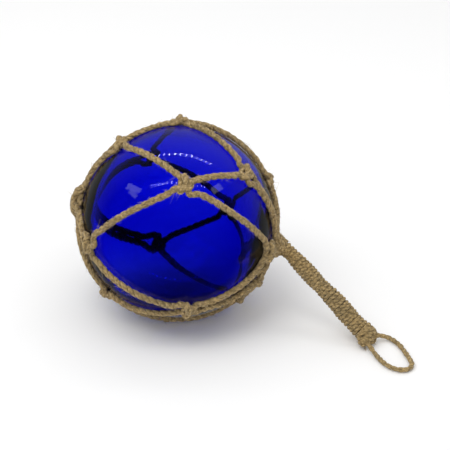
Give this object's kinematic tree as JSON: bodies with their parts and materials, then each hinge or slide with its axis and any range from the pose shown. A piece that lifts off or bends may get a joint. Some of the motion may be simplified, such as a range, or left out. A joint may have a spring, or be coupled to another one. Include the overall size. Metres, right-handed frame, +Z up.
{
  "type": "glass float ball",
  "caption": "Blue glass float ball in a hand-knotted jute net, with a whipped rope tail and a hanging loop, lying on its side.",
  "frame": {"origin": "middle of the small flat spot that the ball lies on", "axes": "+Z up, +X the way the whipped tail leaves the ball, +Y across"},
  "size_m": [0.1822, 0.103, 0.1029],
  "materials": {
    "ball_glass": "smooth, glossy, clear cobalt blue",
    "net_cord": "matte, twisted and hairy natural jute cord",
    "twine": "matte, tightly wound natural jute twine"
  },
  "bodies": {
    "root": {"glass_ball": "ball_glass", "hanging_loop": "twine", "net_cord_pair_neck_1": "net_cord", "net_cord_pair_neck_2": "net_cord", "net_cord_pair_neck_3": "net_cord", "net_cord_pair_neck_4": "net_cord", "net_cord_pair_neck_5": "net_cord", "net_cord_pair_pole_1": "net_cord", "net_cord_pair_pole_2": "net_cord", "net_cord_pair_pole_3": "net_cord", "net_cord_pair_pole_4": "net_cord", "net_cord_pair_pole_5": "net_cord", "net_cord_row1_row2_1a": "net_cord", "net_cord_row1_row2_1b": "net_cord", "net_cord_row1_row2_2a": "net_cord", "net_cord_row1_row2_2b": "net_cord", "net_cord_row1_row2_3a": "net_cord", "net_cord_row1_row2_3b": "net_cord", "net_cord_row1_row2_4a": "net_cord", "net_cord_row1_row2_4b": "net_cord", "net_cord_row1_row2_5a": "net_cord", "net_cord_row1_row2_5b": "net_cord", "net_cord_row2_row3_1a": "net_cord", "net_cord_row2_row3_1b": "net_cord", "net_cord_row2_row3_2a": "net_cord", "net_cord_row2_row3_2b": "net_cord", "net_cord_row2_row3_3a": "net_cord", "net_cord_row2_row3_3b": "net_cord", "net_cord_row2_row3_4a": "net_cord", "net_cord_row2_row3_4b": "net_cord", "net_cord_row2_row3_5a": "net_cord", "net_cord_row2_row3_5b": "net_cord", "net_knot_row1_1": "net_cord", "net_knot_row1_2": "net_cord", "net_knot_row1_3": "net_cord", "net_knot_row1_4": "net_cord", "net_knot_row1_5": "net_cord", "net_knot_row2_1": "net_cord", "net_knot_row2_2": "net_cord", "net_knot_row2_3": "net_cord", "net_knot_row2_4": "net_cord", "net_knot_row2_5": "net_cord", "net_knot_row3_1": "net_cord", "net_knot_row3_2": "net_cord", "net_knot_row3_3": "net_cord", "net_knot_row3_4": "net_cord", "net_knot_row3_5": "net_cord", "net_neck": "net_cord", "net_pole_knot": "net_cord", "tail_end_knot": "twine", "whipped_tail": "twine"}
  },
  "joints": []
}
